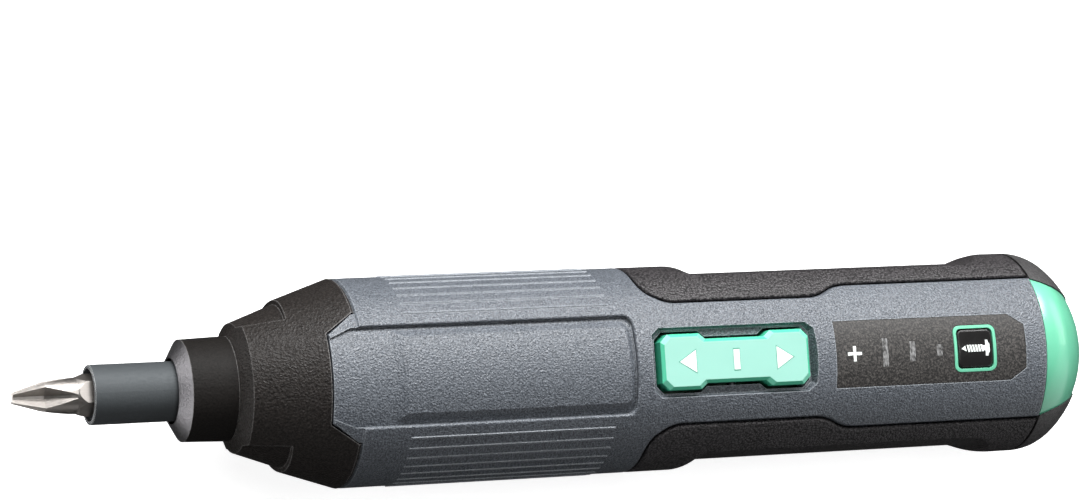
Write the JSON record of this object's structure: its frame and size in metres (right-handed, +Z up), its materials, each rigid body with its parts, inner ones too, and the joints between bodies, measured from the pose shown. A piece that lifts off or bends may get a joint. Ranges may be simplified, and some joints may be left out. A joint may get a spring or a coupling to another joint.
{
  "type": "electric screwdriver",
  "caption": "Straight cordless screwdriver with a hex bit socket, planetary drive, direction rocker, torque lights and mode button.",
  "frame": {"origin": "middle of the tool's length, under its axis, on the flat land that it lies on", "axes": "+X along the tool axis from the bit to the tail, +Y across the controls, +Z up out of the control side"},
  "size_m": [0.1973, 0.0362, 0.0348],
  "materials": {
    "housing_plastic": "fine moulded grain",
    "nose_plastic": "sparkling moulded grain",
    "collar_plastic": "satin",
    "grip_rubber": "pebbled grain",
    "tail_plastic": "fine moulded grain",
    "accent_plastic": "smooth",
    "rocker_plastic": "smooth satin",
    "panel_plastic": "speckled",
    "button_plastic": "gloss",
    "light_plastic": "frosted",
    "spindle_steel": "blackened satin",
    "bit_steel": "satin nickel",
    "gear_steel": "sintered",
    "case_metal": "die cast",
    "motor_metal": "zinc plated",
    "bell_plastic": "moulded",
    "bush_bronze": "sintered",
    "magnet_metal": "nickel plated",
    "fastener_steel": "zinc plated",
    "tab_nickel": "rolled",
    "cell_can": "shrink sleeve",
    "board_resin": "solder mask",
    "switch_plastic": "moulded",
    "port_steel": "plated"
  },
  "bodies": {
    "housing": {"front_shell": "housing_plastic", "rear_shell": "housing_plastic", "nose_cone": "nose_plastic", "nose_collar": "collar_plastic", "right_grip": "grip_rubber", "left_grip": "grip_rubber", "tail_cap": "tail_plastic", "tail_band": "accent_plastic", "button_frame": "accent_plastic", "control_panel": "panel_plastic", "light_bars": "light_plastic", "panel_leds": "light_plastic", "gear_case": "case_metal", "motor_plate": "case_metal", "motor_can": "motor_metal", "motor_end_bell": "bell_plastic", "spindle_bush": "bush_bronze", "thrust_washer": "fastener_steel", "rocker_pivot": "fastener_steel", "housing_screws": "fastener_steel", "battery_tabs": "tab_nickel", "battery_cell": "cell_can", "main_board": "board_resin", "charge_board": "board_resin", "tact_switches": "switch_plastic", "charge_port": "port_steel"},
    "spindle": {"spindle": "spindle_steel", "bit_magnet": "magnet_metal", "retaining_ring": "fastener_steel"},
    "bit": {"screwdriver_bit": "bit_steel"},
    "fast_carrier": {"first_stage_carrier": "gear_steel"},
    "rotor": {"motor_shaft": "gear_steel"},
    "rocker": {"rocker_cap": "rocker_plastic"},
    "button": {"mode_button": "button_plastic"},
    "slow_planet_1": {"slow_planet_1": "gear_steel"},
    "slow_planet_2": {"slow_planet_2": "gear_steel"},
    "slow_planet_3": {"slow_planet_3": "gear_steel"},
    "fast_planet_1": {"fast_planet_1": "gear_steel"},
    "fast_planet_2": {"fast_planet_2": "gear_steel"},
    "fast_planet_3": {"fast_planet_3": "gear_steel"}
  },
  "joints": [
    {"name": "spindle_spin", "type": "hinge", "parent": "housing", "child": "spindle", "pos_m": [0, 0, 0.0166], "axis": [1, 0, 0], "continuous": true},
    {"name": "fast_carrier_spin", "type": "hinge", "parent": "housing", "child": "fast_carrier", "pos_m": [0, 0, 0.0166], "axis": [1, 0, 0], "continuous": true},
    {"name": "rotor_spin", "type": "hinge", "parent": "housing", "child": "rotor", "pos_m": [0, 0, 0.0166], "axis": [1, 0, 0], "continuous": true},
    {"name": "slow_planet_1_spin", "type": "hinge", "parent": "spindle", "child": "slow_planet_1", "pos_m": [-0.0438, 0, 0.0238], "axis": [1, 0, 0], "continuous": true},
    {"name": "slow_planet_2_spin", "type": "hinge", "parent": "spindle", "child": "slow_planet_2", "pos_m": [-0.0438, -0.00624, 0.013], "axis": [1, 0, 0], "continuous": true},
    {"name": "slow_planet_3_spin", "type": "hinge", "parent": "spindle", "child": "slow_planet_3", "pos_m": [-0.0438, 0.00624, 0.013], "axis": [1, 0, 0], "continuous": true},
    {"name": "fast_planet_1_spin", "type": "hinge", "parent": "fast_carrier", "child": "fast_planet_1", "pos_m": [-0.0362, 0, 0.0238], "axis": [1, 0, 0], "continuous": true},
    {"name": "fast_planet_2_spin", "type": "hinge", "parent": "fast_carrier", "child": "fast_planet_2", "pos_m": [-0.0362, -0.00624, 0.013], "axis": [1, 0, 0], "continuous": true},
    {"name": "fast_planet_3_spin", "type": "hinge", "parent": "fast_carrier", "child": "fast_planet_3", "pos_m": [-0.0362, 0.00624, 0.013], "axis": [1, 0, 0], "continuous": true},
    {"name": "bit_pull", "type": "slide", "parent": "spindle", "child": "bit", "axis": [-1, 0, 0], "range_m": [0, 0.0125]},
    {"name": "rocker_tilt", "type": "hinge", "parent": "housing", "child": "rocker", "pos_m": [0.0249, 0, 0.0314], "axis": [0, 1, 0], "range_deg": [-3, 3], "stiffness_Nm_per_rad": 0.35},
    {"name": "mode_press", "type": "slide", "parent": "housing", "child": "button", "axis": [0, 0, -1], "range_m": [0, 0.0005], "stiffness_N_per_m": 1500}
  ],
  "couplings": [
    {"joint": "fast_carrier_spin", "follows": "spindle_spin", "ratio": 6},
    {"joint": "rotor_spin", "follows": "spindle_spin", "ratio": 36},
    {"joint": "slow_planet_1_spin", "follows": "spindle_spin", "ratio": -2.5},
    {"joint": "slow_planet_2_spin", "follows": "spindle_spin", "ratio": -2.5},
    {"joint": "slow_planet_3_spin", "follows": "spindle_spin", "ratio": -2.5},
    {"joint": "fast_planet_1_spin", "follows": "spindle_spin", "ratio": -15},
    {"joint": "fast_planet_2_spin", "follows": "spindle_spin", "ratio": -15},
    {"joint": "fast_planet_3_spin", "follows": "spindle_spin", "ratio": -15}
  ]
}
